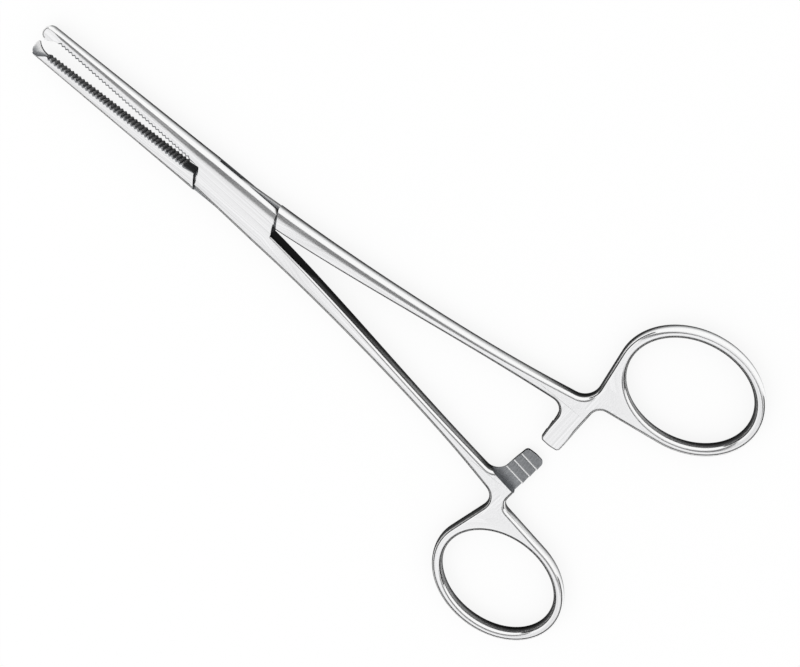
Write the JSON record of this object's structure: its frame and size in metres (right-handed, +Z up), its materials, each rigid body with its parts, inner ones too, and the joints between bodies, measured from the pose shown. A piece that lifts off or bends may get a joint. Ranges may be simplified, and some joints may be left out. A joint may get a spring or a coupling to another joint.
{
  "type": "hemostatic forceps",
  "caption": "Straight box-lock artery forceps with interlocking tip teeth, cross-serrated jaws, a stepped ratchet and oval finger rings, in satin stainless steel.",
  "frame": {"origin": "on the hinge axis, at the underside of the box lock, which the instrument rests on", "axes": "+X runs from the hinge to the finger rings and the jaws point to -X, +Y is the side of the tongue arm's ring, +Z is up, along the hinge axis"},
  "size_m": [0.1575, 0.0838, 0.0046],
  "materials": {
    "satin_steel": "satin, brushed lengthwise, with smoother bevels"
  },
  "bodies": {
    "box_arm": {"box_arm": "satin_steel", "hinge_pin": "satin_steel"},
    "tongue_arm": {"tongue_arm": "satin_steel"}
  },
  "joints": [
    {"name": "lock_hinge", "type": "hinge", "parent": "box_arm", "child": "tongue_arm", "pos_m": [0, 0, 0.0023], "axis": [0, 0, 1], "range_deg": [-4.4, 62]}
  ]
}
